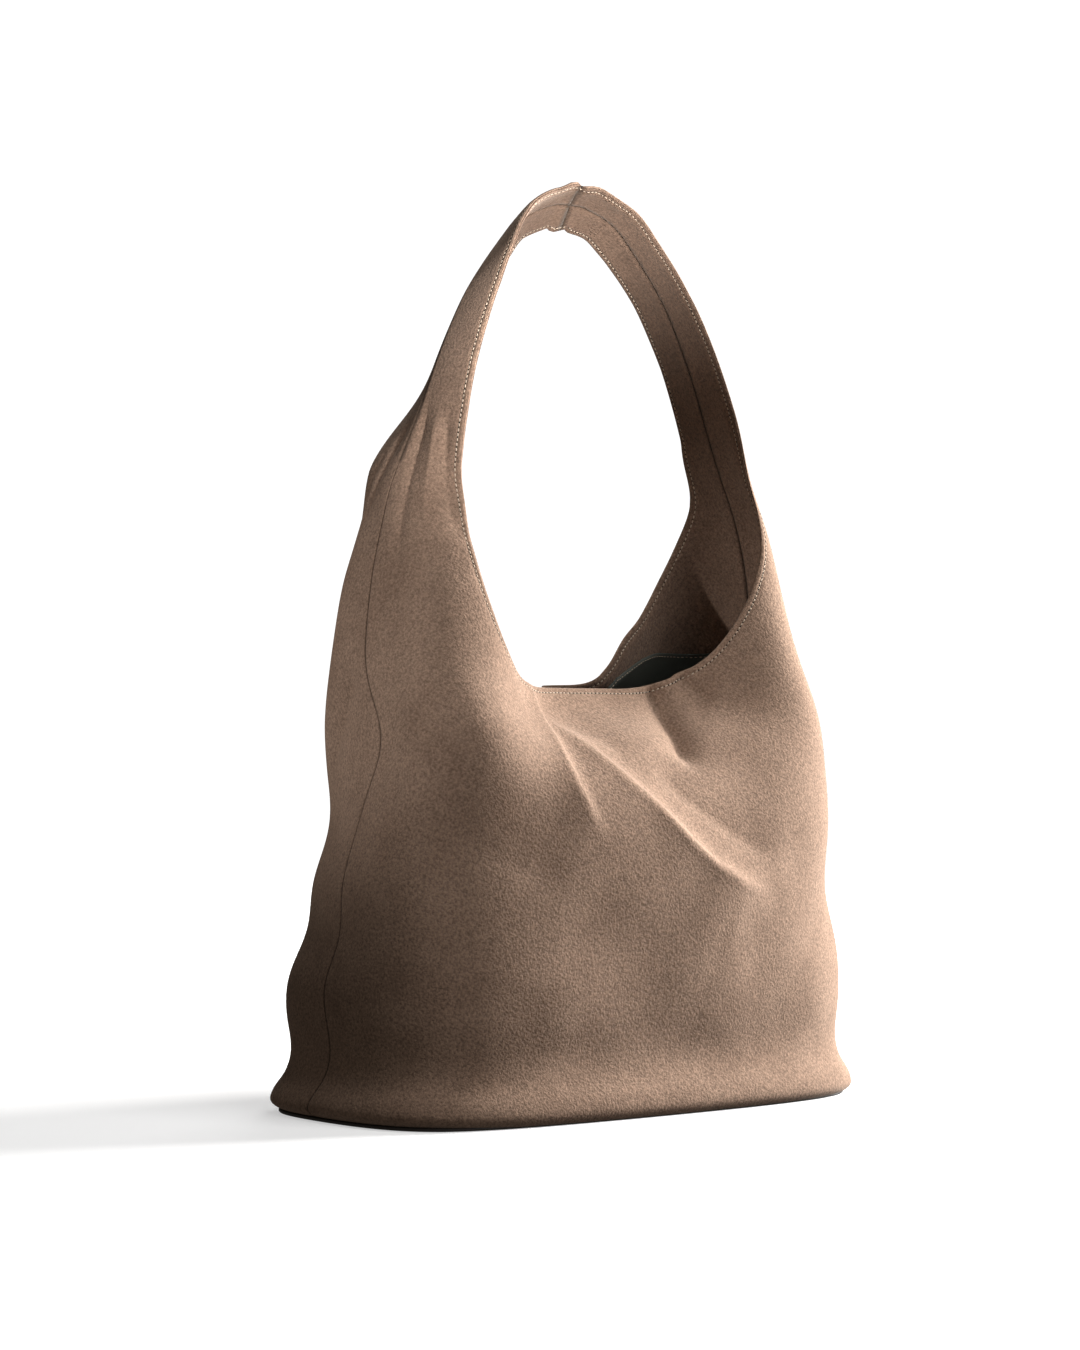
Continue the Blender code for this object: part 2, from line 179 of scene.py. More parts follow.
SEAM_POINTS = [(half_width, z) for z, half_width, *_ in BODY_STATIONS] + list(STRAP_STATIONS)
SEAM_POINTS.append((-STRAP_STATIONS[-2][0], STRAP_STATIONS[-2][1]))
LAST_STATION = len(SEAM_POINTS) - 2
SECTIONS = [station[2:] for station in BODY_STATIONS]
SECTIONS += [BODY_STATIONS[-1][2:]] * (len(SEAM_POINTS) - len(SECTIONS))

DENSE_STATIONS = np.linspace(0, LAST_STATION, 4001)
DENSE_SEAM = through(SEAM_POINTS, DENSE_STATIONS)
DENSE_CLIMB = np.concatenate(((0.0,), np.cumsum(np.linalg.norm(np.diff(DENSE_SEAM, axis=0), axis=1))))
TOTAL_CLIMB = float(DENSE_CLIMB[-1])


def station_of(climb):
    return np.interp(climb, DENSE_CLIMB, DENSE_STATIONS)


def climb_of_height(height):
    """Only for heights on the bag's side, above the turned edge."""
    return np.interp(height, DENSE_SEAM[:, 1], DENSE_CLIMB)


def rib_tables():
    """x over the half width and y over the half depth along a rib, against its share of the half girth."""
    t = np.linspace(0, 1, 1001)
    x = t**3 + 3 * t**2 * (1 - t) + 3 * SQUARENESS * t * (1 - t) ** 2
    y = (1 - t) ** 3 + 3 * (1 - t) ** 2 * t + 3 * SQUARENESS * (1 - t) * t**2
    length = np.concatenate(((0.0,), np.cumsum(np.hypot(np.diff(x) * 0.18, np.diff(y) * 0.10))))
    return length / length[-1], x, y


RIB_SHARE, RIB_X, RIB_Y = rib_tables()


def mouth_edge_domain(edge, count=600):
    """(share, climb) along the mouth's edge, from its lowest point to the crown."""
    line = through(edge, np.linspace(0, len(edge) - 1, count))
    climb = climb_of_height(line[:, 1])
    half_width = through(SEAM_POINTS, station_of(climb))[:, 0]
    share = np.interp(line[:, 0] / half_width, RIB_X, RIB_SHARE)
    more = np.linspace(climb[-1], TOTAL_CLIMB, count + 1)[1:]
    return np.concatenate((share, np.full(count, share[-1]))), np.concatenate((climb, more))


EDGES = {quarter: mouth_edge_domain(edge) for quarter, edge in MOUTH_EDGES.items()}


def by_quarter(side, face, values):
    """An array that picks, point by point, the value of the quarter it lies in. values is a function of a quarter."""
    total = np.zeros(np.broadcast(side, face).shape)
    for quarter in EDGES:
        here = (side == quarter[0]) & (face == quarter[1])
        total = np.where(here, values(quarter), total)
    return total


def edge_share_at(climb, side, face):
    """Share of the mouth's edge at a climb; below the lip it is 0."""
    return by_quarter(side, face, lambda quarter: np.interp(climb, EDGES[quarter][1], EDGES[quarter][0], left=0.0))


# ---- shape of the suede -----------------------------------------------------------------------------------------
def base_surface(share, climb, side, face):
    """The bag without folds: oval ribs up the bag, flat ribs across the strap. side and face are signs."""
    station = station_of(climb)
    seam = through(SEAM_POINTS, station)
    ahead = through(SEAM_POINTS, np.minimum(station + 0.01, LAST_STATION + 0.9))
    behind = through(SEAM_POINTS, np.maximum(station - 0.01, 0))
    tangent = ahead - behind
    tangent /= np.linalg.norm(tangent, axis=-1, keepdims=True)
    inward = np.stack((-tangent[..., 1], tangent[..., 0]), axis=-1)
    half_depth, dip, dip_width = np.moveaxis(through(SECTIONS, station), -1, 0)

    x = seam[..., 0] * np.interp(share, RIB_SHARE, RIB_X)
    dipping = np.exp(-((x / dip_width) ** 3)) - np.exp(-((seam[..., 0] / dip_width) ** 3))
    y = half_depth * np.interp(share, RIB_SHARE, RIB_Y) - dip * dipping
    body = np.stack((x, y, seam[..., 1]), axis=-1)

    across = (1 - share) / (1 - np.maximum(edge_share_at(climb, side, face), 0.4))
    lean, fold, skew = strap_pose(climb, side, face)
    flat = strap_half_width(climb) * across
    depth = STRAP_CURL * across**2 + fold * flat
    flat = flat * np.sqrt(np.maximum(1 - fold**2, 0.2))
    turned_depth = depth * np.cos(lean) + face * flat * np.sin(lean)
    turned_flat = flat * np.cos(lean) - face * depth * np.sin(lean)
    slip = -face * side * skew * flat
    strap = np.stack(
        (
            seam[..., 0] + inward[..., 0] * turned_depth + tangent[..., 0] * slip,
            turned_flat,
            seam[..., 1] + inward[..., 1] * turned_depth + tangent[..., 1] * slip,
        ),
        axis=-1,
    )
    mix = smooth(*STRAP_BLEND, station)[..., None]
    place = body * (1 - mix) + strap * mix
    return place * np.stack((side, face, np.ones_like(share)), axis=-1)


def strap_half_width(climb):
    root, crown = STRAP_HALF_WIDTHS
    return root + (crown - root) * smooth(0.0, 1.0, 1 - (TOTAL_CLIMB - climb) / 0.19)


def strap_pose(climb, side, face):
    """Lean and skew of the strap about its own line, and how far this half is folded in along the outer seam."""
    to_crown = np.abs(TOTAL_CLIMB - climb)
    lean, fold = np.zeros(climb.shape), np.zeros(climb.shape)
    for turned_side, turns in STRAP_TURNS.items():
        distance, leans, folds = np.array(turns).T
        here = side == turned_side
        lean = np.where(here, np.interp(to_crown, distance, leans), lean)
        fold = np.where(here & (face > 0), np.interp(to_crown, distance, folds), fold)
    return lean, fold, CROWN_SKEW * bump(to_crown, 0.0, CROWN_SKEW_REACH)


def distance_to_line(a, b, line):
    """Distance of points (a, b) to a polyline, how far along it they are (0 to 1) and on which side."""
    line = np.asarray(line, float)
    lengths = np.linalg.norm(np.diff(line, axis=0), axis=1)
    starts = np.concatenate(((0.0,), np.cumsum(lengths)))
    best = np.full(a.shape, 1e9)
    along = np.zeros(a.shape)
    sign = np.ones(a.shape)
    for n, length in enumerate(lengths):
        step = (line[n + 1] - line[n]) / length
        da, db = a - line[n, 0], b - line[n, 1]
        t = np.clip(da * step[0] + db * step[1], 0, length)
        off_a, off_b = da - t * step[0], db - t * step[1]
        distance = np.hypot(off_a, off_b)
        nearer = distance < best
        best = np.where(nearer, distance, best)
        along = np.where(nearer, (starts[n] + t) / starts[-1], along)
        sign = np.where(nearer, np.sign(step[0] * off_b - step[1] * off_a), sign)
    return best, along, sign


# Folds drawn on a panel, seen from the front: points (x, z), then rise, and reach to the left and to the right of
# the line as it is drawn.
FRONT_FOLDS = (
    (((-0.063, 0.2430), (-0.040, 0.2190), (-0.029, 0.207), (-0.017, 0.195), (-0.003, 0.183), (0.017, 0.164), (0.035, 0.150), (0.056, 0.140), (0.092, 0.129)), 0.0082, 0.007, 0.050),
    (((-0.024, 0.2015), (-0.003, 0.183), (0.017, 0.164), (0.035, 0.150), (0.054, 0.1405), (0.083, 0.1305)), 0.0011, 0.0035, 0.0050),
    (((-0.060, 0.270), (-0.060, 0.252), (-0.064, 0.234), (-0.066, 0.214), (-0.064, 0.198), (-0.057, 0.182), (-0.046, 0.166)), 0.0036, 0.0045, 0.015),
    (((-0.060, 0.240), (-0.050, 0.2315), (-0.036, 0.2255), (-0.014, 0.217)), 0.0022, 0.004, 0.006),
    (((0.044, 0.268), (0.044, 0.247), (0.041, 0.230), (0.034, 0.208)), -0.0078, 0.0085, 0.010),
    (((0.062, 0.270), (0.080, 0.252)), -0.0045, 0.010, 0.010),
    (((0.000, 0.212), (0.028, 0.190), (0.060, 0.168), (0.098, 0.150)), -0.0030, 0.020, 0.010),
    (((-0.160, 0.184), (-0.125, 0.160), (-0.070, 0.140)), -0.0016, 0.022, 0.030),
    (((-0.150, 0.100), (-0.110, 0.085), (-0.060, 0.075)), 0.0010, 0.024, 0.030),
    (((0.050, 0.085), (0.110, 0.095), (0.150, 0.120)), -0.0012, 0.030, 0.030),
)
BACK_FOLDS = (
    (((0.060, 0.262), (0.048, 0.235), (0.030, 0.205), (0.000, 0.185)), 0.0070, 0.009, 0.030),
    (((-0.080, 0.270), (-0.060, 0.235), (-0.020, 0.200), (0.030, 0.170)), 0.0060, 0.030, 0.011),
    (((-0.120, 0.150), (-0.050, 0.120), (0.040, 0.115)), 0.0030, 0.016, 0.026),
)
FOLD_SHARPNESS = 1.2

# Gathers under the left strap root, seen from the left: points (y, z), then rise and the two reaches as above.
GATHERS = (
    (((-0.005, 0.440), (-0.008, 0.400), (-0.012, 0.360), (-0.019, 0.320)), -0.0026, 0.0030, 0.0045),
    (((-0.013, 0.430), (-0.018, 0.390), (-0.026, 0.350)), 0.0016, 0.0030, 0.0040),
    (((-0.020, 0.430), (-0.026, 0.385), (-0.038, 0.340)), -0.0026, 0.0030, 0.0040),
    (((0.007, 0.430), (0.012, 0.385), (0.020, 0.345)), -0.0022, 0.0030, 0.0040),
    (((0.016, 0.410), (0.025, 0.365), (0.038, 0.325)), -0.0024, 0.0040, 0.0040),
    (((0.010, 0.272), (0.030, 0.252), (0.048, 0.226), (0.055, 0.200)), -0.0050, 0.0080, 0.0100),
)


def fold_height(across, height, folds):
    total = np.zeros(across.shape)
    for line, rise, left, right in folds:
        distance, along, sign = distance_to_line(across, height, line)
        width = np.where(sign > 0, left, right)
        ends = smooth(0, 0.22, along) * smooth(0, 0.30, 1 - along)
        total += rise * ends * np.exp(-((distance / width) ** FOLD_SHARPNESS))
    return total


# Where the soft bag bulges or is dented: centre, reach and push, in X, Y and Z.
PUSHES = (
    ((-0.085, -0.070, 0.300), (0.035, 0.036, 0.042), (0.007, -0.020, 0.000)),
    ((-0.115, -0.090, 0.235), (0.045, 0.050, 0.036), (0.000, -0.008, 0.000)),
    ((-0.045, -0.060, 0.235), (0.030, 0.050, 0.022), (0.000, 0.006, 0.000)),
    ((-0.150, 0.045, 0.345), (0.050, 0.050, 0.055), (-0.008, 0.010, 0.000)),
    ((-0.140, 0.030, 0.395), (0.040, 0.040, 0.030), (-0.005, 0.005, 0.000)),
    ((-0.112, -0.036, 0.374), (0.024, 0.024, 0.038), (0.008, 0.000, 0.000)),
    ((0.118, 0.036, 0.385), (0.022, 0.022, 0.022), (0.007, 0.000, 0.000)),
    ((-0.165, 0.060, 0.175), (0.060, 0.080, 0.048), (0.016, -0.014, 0.000)),
    ((-0.165, 0.060, 0.112), (0.060, 0.080, 0.026), (0.008, -0.005, 0.000)),
    ((0.140, -0.035, 0.350), (0.045, 0.045, 0.055), (0.006, -0.007, 0.000)),
    ((0.150, -0.050, 0.245), (0.045, 0.045, 0.050), (0.004, -0.004, 0.000)),
    ((0.175, -0.060, 0.130), (0.050, 0.060, 0.035), (-0.006, 0.005, 0.000)),
    ((-0.090, -0.100, 0.110), (0.070, 0.060, 0.050), (0.000, 0.002, 0.000)),
    ((0.090, 0.090, 0.200), (0.060, 0.050, 0.050), (0.002, 0.006, 0.000)),
)


def pushed(place):
    total = np.zeros(place.shape)
    for centre, reach, push in PUSHES:
        away = (place - np.array(centre)) / np.array(reach)
        total += np.exp(-(away**2).sum(-1))[..., None] * np.array(push)
    return total


def wandering(place, face):
    """Slow, shallow unevenness of soft suede: a few crossing waves."""
    a, b = place[..., 0], place[..., 2] + 0.4 * place[..., 1]
    waves = np.sin(23 * a + 17 * b + 1.3 * face) + 0.7 * np.sin(41 * a - 29 * b + 0.6)
    waves += 0.5 * np.sin(67 * a + 51 * b + 2.0 * face) + 0.35 * np.sin(93 * a - 77 * b + 4.0)
    return 0.0006 * waves


# The side seams don't hang straight: height, reach, and offset in X and Y.
SEAM_WANDER = {
    -1: ((0.000, 0.030, 0.000, 0.012), (0.230, 0.034, 0.006, -0.019), (0.080, 0.022, 0.000, 0.006), (0.150, 0.030, -0.002, 0.002)),
    1: ((0.240, 0.040, -0.004, 0.004), (0.120, 0.030, 0.003, -0.004)),
}


def seam_wander(height, side):
    offset = np.zeros((*height.shape, 3))
    for seam_side, bends in SEAM_WANDER.items():
        for middle, reach, in_x, in_y in bends:
            amount = np.where(side == seam_side, bump(height, middle, reach), 0)
            offset += amount[..., None] * np.array((in_x, in_y, 0.0))
    return offset


def surface_normal(surface, share, climb, side, face):
    """A surface given as a function of the domain, and its unit normals, by small steps that stay inside it."""
    place = surface(share, climb, side, face)
    right, left = np.minimum(share + 0.003, 1.0), np.maximum(share - 0.003, 0.0)
    above, below = np.minimum(climb + 0.001, TOTAL_CLIMB), np.maximum(climb - 0.001, 0.0)
    by_share = (surface(right, climb, side, face) - surface(left, climb, side, face)) / (right - left)[..., None]
    by_climb = (surface(share, above, side, face) - surface(share, below, side, face)) / (above - below)[..., None]
    normal = np.cross(by_share, by_climb) * (-side * face)[..., None]
    return place, normal / np.maximum(np.linalg.norm(normal, axis=-1, keepdims=True), 1e-12)


def folded_surface(share, climb, side, face):
    base, normal = surface_normal(base_surface, share, climb, side, face)
    across, height = base[..., 0], base[..., 2]
    lift = np.where(face < 0, fold_height(across, height, FRONT_FOLDS), fold_height(across, height, BACK_FOLDS))
    strap = smooth(0.33, 0.42, height)
    lift = lift + wandering(base, face) * smooth(0.015, 0.05, height) * (1 - 0.7 * strap)
    gathers = np.where(side < 0, fold_height(base[..., 1], height, GATHERS), 0) * smooth(0.0, 0.012, 1 - share)
    place = base + normal * (lift * smooth(0.0, 0.08, 1 - share) + gathers)[..., None]
    place += pushed(base)
    place += seam_wander(height, side) * smooth(0.6, 1.0, share)[..., None]
    place[..., 2] += HEM_LIFT * (1 - smooth(0.002, 0.020, height)) * smooth(0.10, 0.17, -base[..., 0])
    return place * TO_FRAME


def large_surface(share, climb, side, face):
    """The outside of the suede with its folds, and the unit normals there."""
    return surface_normal(folded_surface, share, climb, side, face)


# ---- grids ------------------------------------------------------------------------------------------------------
def fan_lines(bottom_climb, quarter):
    """Start (on the mouth's edge) and end (on the outline) of each line of a quarter, as (share, climb) pairs."""
    edge_share, edge_climb = EDGES[quarter]
    side, face = np.full(edge_share.shape, float(quarter[0])), np.full(edge_share.shape, float(quarter[1]))
    edge_place = base_surface(edge_share, edge_climb, side, face)
    edge_length = np.concatenate(((0.0,), np.cumsum(np.linalg.norm(np.diff(edge_place, axis=0), axis=1))))
    straight_from = climb_of_height(0.385)
    edge_at_straight = float(np.interp(straight_from, edge_climb, edge_length))

    bottom = np.linspace(0, 1, BOTTOM_LINES + 1)
    seam = np.linspace(bottom_climb, TOTAL_CLIMB, SEAM_LINES + 1)[1:]
    rise = np.clip((seam - bottom_climb) / (straight_from - bottom_climb), 0, 1) ** FAN_POWER
    low = LIP_SHARE_OF_BOTTOM + (edge_at_straight - LIP_SHARE_OF_BOTTOM) * rise
    high = np.interp(seam, edge_climb, edge_length)
    along = np.concatenate((bottom * LIP_SHARE_OF_BOTTOM, np.where(seam < straight_from, low, high)))
    start = np.stack((np.interp(along, edge_length, edge_share), np.interp(along, edge_length, edge_climb)), axis=1)
    bottom_end = np.stack((bottom, np.full(bottom.shape, bottom_climb)), axis=1)
    return start, np.concatenate((bottom_end, np.stack((np.ones(seam.shape), seam), axis=1)))


def line_shares(start, end):
    """Where the points lie along each line: fine steps at the mouth's edge, then wider, then fine at the outline."""
    span = np.hypot((end[:, 0] - start[:, 0]) * HALF_GIRTH, end[:, 1] - start[:, 1])
    first = np.array(EDGE_STEPS)[None, :] / span[:, None]
    first = np.minimum(first, np.linspace(0, 0.35, len(EDGE_STEPS))[None, :])
    u = np.linspace(0, 1, INNER_STEPS + 1)[1:]
    weight = 1 / (1 + 2.6 * np.exp(-(1 - u) / 0.10))
    rest = np.cumsum(weight) / weight.sum()
    return np.concatenate((first, first[:, -1:] + (1 - first[:, -1:]) * rest[None, :]), axis=1)


class Panel:
    """The grid of one panel, front or back: lines from the left crown round the mouth to the right crown."""

    def __init__(self, face, bottom_climb=0.0, steps=line_shares):
        left_start, left_end = fan_lines(bottom_climb, (-1, face))
        right_start, right_end = fan_lines(bottom_climb, (1, face))
        self.start = np.concatenate((left_start[:0:-1], right_start))
        self.end = np.concatenate((left_end[:0:-1], right_end))
        self.line_side = np.concatenate((-np.ones(len(left_start) - 1), np.ones(len(right_start))))
        self.face = face
        self.set_grid(steps(self.start, self.end))

    def set_grid(self, along):
        start, end = self.start, self.end
        self.share = start[:, None, 0] + (end - start)[:, None, 0] * along
        self.climb = start[:, None, 1] + (end - start)[:, None, 1] * along
        self.side = self.line_side[:, None] * np.ones(self.share.shape)
        face = np.full(self.share.shape, float(self.face))
        self.place, self.normal = large_surface(self.share, self.climb, self.side, face)
        self.edge_distance = self.distance_to_edge()
        self.seam_distance = (1 - self.share) * np.where(self.climb > 0.42, 0.075, HALF_GIRTH)
        self.crown_distance = TOTAL_CLIMB - self.climb

    def distance_to_edge(self):
        edge = self.place[:, 0]
        distance = np.full(self.share.shape, 1.0)
        for column in range(min(self.share.shape[1], 40)):
            gap = self.place[:, column][:, None, :] - edge[None, :, :]
            distance[:, column] = np.sqrt((gap**2).sum(-1).min(1))
        return distance

    def seam_shade_marks(self):
        # 1 at the side and crown seams, falling off within about a millimetre: the mask of the painted seam shade.
        nearest = np.minimum(self.seam_distance, self.crown_distance)
        return np.exp(-((nearest / 0.0008) ** 2))

    def at_depth(self, depth, detail=0.0):
        """The points of the layer this far under the outside, raised by detail."""
        return self.place + self.normal * ((detail - depth) * np.ones(self.share.shape))[..., None]


def outer_detail(panel):
    """Fine relief of the outside: side seam groove, crown seam, stitch channel and the rolled edge."""
    groove = -0.0006 * np.exp(-((panel.seam_distance / 0.0010) ** 2))
    crown = -0.0010 * np.exp(-((panel.crown_distance / 0.0016) ** 2))
    crown += 0.0006 * np.exp(-(((panel.crown_distance - 0.006) / 0.004) ** 2))
    channel = -0.00040 * np.exp(-(((panel.edge_distance - STITCH_INSET) / 0.0012) ** 2))
    roll = -0.0006 * np.exp(-((panel.edge_distance / 0.0010) ** 2))
    return groove + crown + channel + roll


def add_mesh(name, corners, faces, material):
    mesh = bpy.data.meshes.new(name)
    mesh.from_pydata([tuple(corner) for corner in corners], [], faces)
    mesh.update()
    mesh.shade_smooth()
    piece = bpy.data.objects.new(name, mesh)
    piece.data.materials.append(material)
    bpy.context.scene.collection.objects.link(piece)
    return piece


def quads(rows, columns, offset=0, flip=False):
    first = np.arange(rows - 1)[:, None] * columns + np.arange(columns - 1)[None, :] + offset
    cells = np.stack((first, first + 1, first + columns + 1, first + columns), axis=-1).reshape(-1, 4)
    return [tuple(cell[::-1]) if flip else tuple(cell) for cell in cells.tolist()]


def closed_sheet(name, outer, inner, material, rim=None, flip=False):
    """A thin solid from two grids of the same size. rim is an extra rounded row of points beyond the first column."""
    rows, columns = outer.shape[:2]
    count = rows * columns
    corners = [*outer.reshape(-1, 3), *inner.reshape(-1, 3)]
    faces = quads(rows, columns, 0, flip) + quads(rows, columns, count, not flip)

    def wall(line, swap):
        for a, b in zip(line, line[1:]):
            quad = (a, b, b + count, a + count)
            faces.append(quad[::-1] if swap else quad)

    index = np.arange(count).reshape(rows, columns)
    if rim is None:
        wall(index[:, 0].tolist(), flip)
    else:
        base = len(corners)
        corners += list(rim)
        first = index[:, 0].tolist()
        for n in range(rows - 1):
            a, b = first[n], first[n + 1]
            upper = (a, b, base + n + 1, base + n)
            lower = (base + n, base + n + 1, b + count, a + count)
            faces += [upper[::-1], lower[::-1]] if flip else [upper, lower]
        ends = ((0, first[0], True), (rows - 1, first[-1], False))
        for n, corner, swap in ends:
            triangle = (corner, base + n, corner + count)
            faces.append(triangle[::-1] if swap != flip else triangle)
    wall(index[:, -1].tolist(), not flip)
    wall(index[0].tolist(), not flip)
    wall(index[-1].tolist(), flip)
    return add_mesh(name, corners, faces, material)


# ---- materials --------------------------------------------------------------------------------------------------
def new_material(name, roughness):
    material = bpy.data.materials.new(name)
    material.use_nodes = True
    shader = material.node_tree.nodes["Principled BSDF"]
    shader.inputs["Roughness"].default_value = roughness
    return material, material.node_tree, shader


def noise(tree, coordinates, scale, detail=3.0, roughness=0.55):
    node = tree.nodes.new("ShaderNodeTexNoise")
    node.inputs["Scale"].default_value = scale
    node.inputs["Detail"].default_value = detail
    node.inputs["Roughness"].default_value = roughness
    tree.links.new(coordinates, node.inputs["Vector"])
    return node.outputs["Fac"]


def mapped(tree, value, low, high, new_low, new_high):
    node = tree.nodes.new("ShaderNodeMapRange")
    tree.links.new(value, node.inputs["Value"])
    for socket, number in (("From Min", low), ("From Max", high), ("To Min", new_low), ("To Max", new_high)):
        node.inputs[socket].default_value = number
    return node.outputs["Result"]


def mixed(tree, factor, first, second, blend="MIX"):
    node = tree.nodes.new("ShaderNodeMix")
    node.data_type = "RGBA"
    node.blend_type = blend
    for value, socket in ((factor, node.inputs["Factor"]), (first, node.inputs["A"]), (second, node.inputs["B"])):
        if isinstance(value, (int, float)):
            socket.default_value = value
        elif isinstance(value, tuple):
            socket.default_value = (*value, 1.0)
        else:
            tree.links.new(value, socket)
    return node.outputs["Result"]


def math_node(tree, operation, first, second):
    node = tree.nodes.new("ShaderNodeMath")
    node.operation = operation
    for value, socket in ((first, node.inputs[0]), (second, node.inputs[1])):
        if isinstance(value, (int, float)):
            socket.default_value = value
        else:
            tree.links.new(value, socket)
    return node.outputs["Value"]


def object_coordinates(tree):
    """Object coordinates turned off the axes, so that the grid of the noise lines up with no flat side."""
    turned = tree.nodes.new("ShaderNodeMapping")
    turned.inputs["Rotation"].default_value = (0.6, 0.9, 0.4)
    tree.links.new(tree.nodes.new("ShaderNodeTexCoord").outputs["Object"], turned.inputs["Vector"])
    return turned.outputs["Vector"]


def paint_seam_shade(piece, *grids):
    """Store how near each point is to a seam, 1 at the seam, for the painted shade line that the material darkens along
    the seams.
    """
    values = np.zeros(len(piece.data.vertices), np.float32)
    marks = np.concatenate([grid.reshape(-1) for grid in grids])
    values[: len(marks)] = marks
    layer = piece.data.attributes.new("seam", "FLOAT", "POINT")
    layer.data.foreach_set("value", values)


def suede_material(name, dark, mid, light, nap=1.0):
    """Napped suede: cloudy shade where the nap lies differently, a fine speckle, a soft sheen, and painted shade:
    near-black along the seams.
    """
    material, tree, shader = new_material(name, 0.93)
    place = object_coordinates(tree)
    clouds = mapped(tree, noise(tree, place, 9.0, 4.0, 0.6), 0.35, 0.65, 0.0, 1.0)
    patches = mapped(tree, noise(tree, place, 34.0, 4.0, 0.62), 0.34, 0.66, 0.0, 1.0)
    speckle = mapped(tree, noise(tree, place, 620.0, 2.0, 0.6), 0.30, 0.70, 0.0, 1.0)
    fibre = mapped(tree, noise(tree, place, 1500.0, 2.0, 0.6), 0.25, 0.75, 0.0, 1.0)
    colour = mixed(tree, clouds, dark, mid)
    colour = mixed(tree, math_node(tree, "MULTIPLY", patches, 0.45), colour, light)
    grain = math_node(tree, "ADD", math_node(tree, "MULTIPLY", speckle, 0.30), math_node(tree, "MULTIPLY", fibre, 0.22))
    shade = mapped(tree, grain, 0.0, 0.52, 0.40, 1.60)
    grey = tree.nodes.new("ShaderNodeCombineColor")
    for channel in ("Red", "Green", "Blue"):
        tree.links.new(shade, grey.inputs[channel])
    colour = mixed(tree, 1.0, colour, grey.outputs["Color"], "MULTIPLY")
    # Painted shade: the colour goes towards near-black along the seams, by the stored seam value, where the groove's
    # shadow would fall.
    seam = tree.nodes.new("ShaderNodeAttribute")
    seam.attribute_name = "seam"
    colour = mixed(tree, mapped(tree, seam.outputs["Fac"], 0.0, 1.0, 0.0, 0.75), colour, (0.03, 0.02, 0.014))
    tree.links.new(colour, shader.inputs["Base Color"])
    bump_node = tree.nodes.new("ShaderNodeBump")
    bump_node.inputs["Strength"].default_value = 0.6 * nap
    bump_node.inputs["Distance"].default_value = 0.0005
    height = math_node(tree, "ADD", math_node(tree, "MULTIPLY", speckle, 0.6), math_node(tree, "MULTIPLY", patches, 0.5))
    tree.links.new(height, bump_node.inputs["Height"])
    tree.links.new(bump_node.outputs["Normal"], shader.inputs["Normal"])
    shader.inputs["Sheen Weight"].default_value = 0.15
    shader.inputs["Sheen Roughness"].default_value = 0.45
    shader.inputs["Sheen Tint"].default_value = (0.95, 0.82, 0.70, 1.0)
    shader.inputs["Specular IOR Level"].default_value = 0.12
    return material


def plain_material(name, colour, roughness, scale=400.0, bump_distance=0.0002, spread=0.12):
    material, tree, shader = new_material(name, roughness)
    place = object_coordinates(tree)
    fine = noise(tree, place, scale, 3.0)
    factor = mapped(tree, fine, 0.3, 0.7, 0.0, 1.0)
    low = tuple(channel * (1 - spread) for channel in colour)
    high = tuple(min(channel * (1 + spread), 1.0) for channel in colour)
    tree.links.new(mixed(tree, factor, low, high), shader.inputs["Base Color"])
    bump_node = tree.nodes.new("ShaderNodeBump")
    bump_node.inputs["Strength"].default_value = 0.5
    bump_node.inputs["Distance"].default_value = bump_distance
    tree.links.new(fine, bump_node.inputs["Height"])
    tree.links.new(bump_node.outputs["Normal"], shader.inputs["Normal"])
    return material


SUEDE = suede_material("taupe_suede", (0.186, 0.119, 0.083), (0.230, 0.151, 0.107), (0.282, 0.189, 0.136))
# The facing is the same suede made darker: painted shade for the inside of the bag.
SHADED_FACING_SUEDE = suede_material("facing_suede", (0.145, 0.091, 0.063), (0.180, 0.115, 0.081), (0.215, 0.141, 0.100))
LINING = plain_material("grey_green_lining", (0.062, 0.066, 0.055), 0.55, 1500.0, 0.0001)
# A near-black base plate; where the hem is lifted at the left, it shows as a dark line under the bottom edge.
NEAR_BLACK_BASE = plain_material("near_black_base", (0.030, 0.024, 0.021), 0.60, 500.0)
THREAD = plain_material("beige_thread", (0.46, 0.36, 0.27), 0.75, 3000.0, 0.0001, 0.2)
# Near-black flat dots between the stitches: painted shade of the needle holes.
HOLE_SHADE = plain_material("needle_hole_shade", (0.016, 0.011, 0.008), 0.95, 1500.0, 0.0001)
TAPE = plain_material("stay_tape", (0.30, 0.26, 0.22), 0.90, 1200.0)
BOARD = plain_material("fibre_board", (0.10, 0.085, 0.07), 0.85, 300.0)


# ---- pieces -----------------------------------------------------------------------------------------------------
FACES = (("front", -1), ("back", 1))
SIDES = ("left", "right")


def bends_with_strap(piece):
    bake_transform(piece)


def rim_row(outer, inner, beyond):
    """A row of points halfway between two layers' edges, pushed out past them."""
    middle = 0.5 * (outer[:, 0] + inner[:, 0])
    outward = outer[:, 0] - outer[:, 2]
    outward /= np.linalg.norm(outward, axis=1)[:, None]
    return middle + beyond * outward


def make_suede(face_name, face):
    panel = Panel(face)
    outer = panel.at_depth(0.0, outer_detail(panel))
    inner = panel.at_depth(SUEDE_THICKNESS)
    piece = closed_sheet(f"{face_name}_suede", outer, inner, SUEDE, rim_row(outer, inner, 0.0005), flip=face > 0)
    paint_seam_shade(piece, panel.seam_shade_marks(), panel.seam_shade_marks())
    nodes = [f"{face_name}_panel"] + [f"strap_{face_name}_{side}" for side in SIDES]
    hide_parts(*nodes)
    bends_with_strap(piece)
    return panel, piece


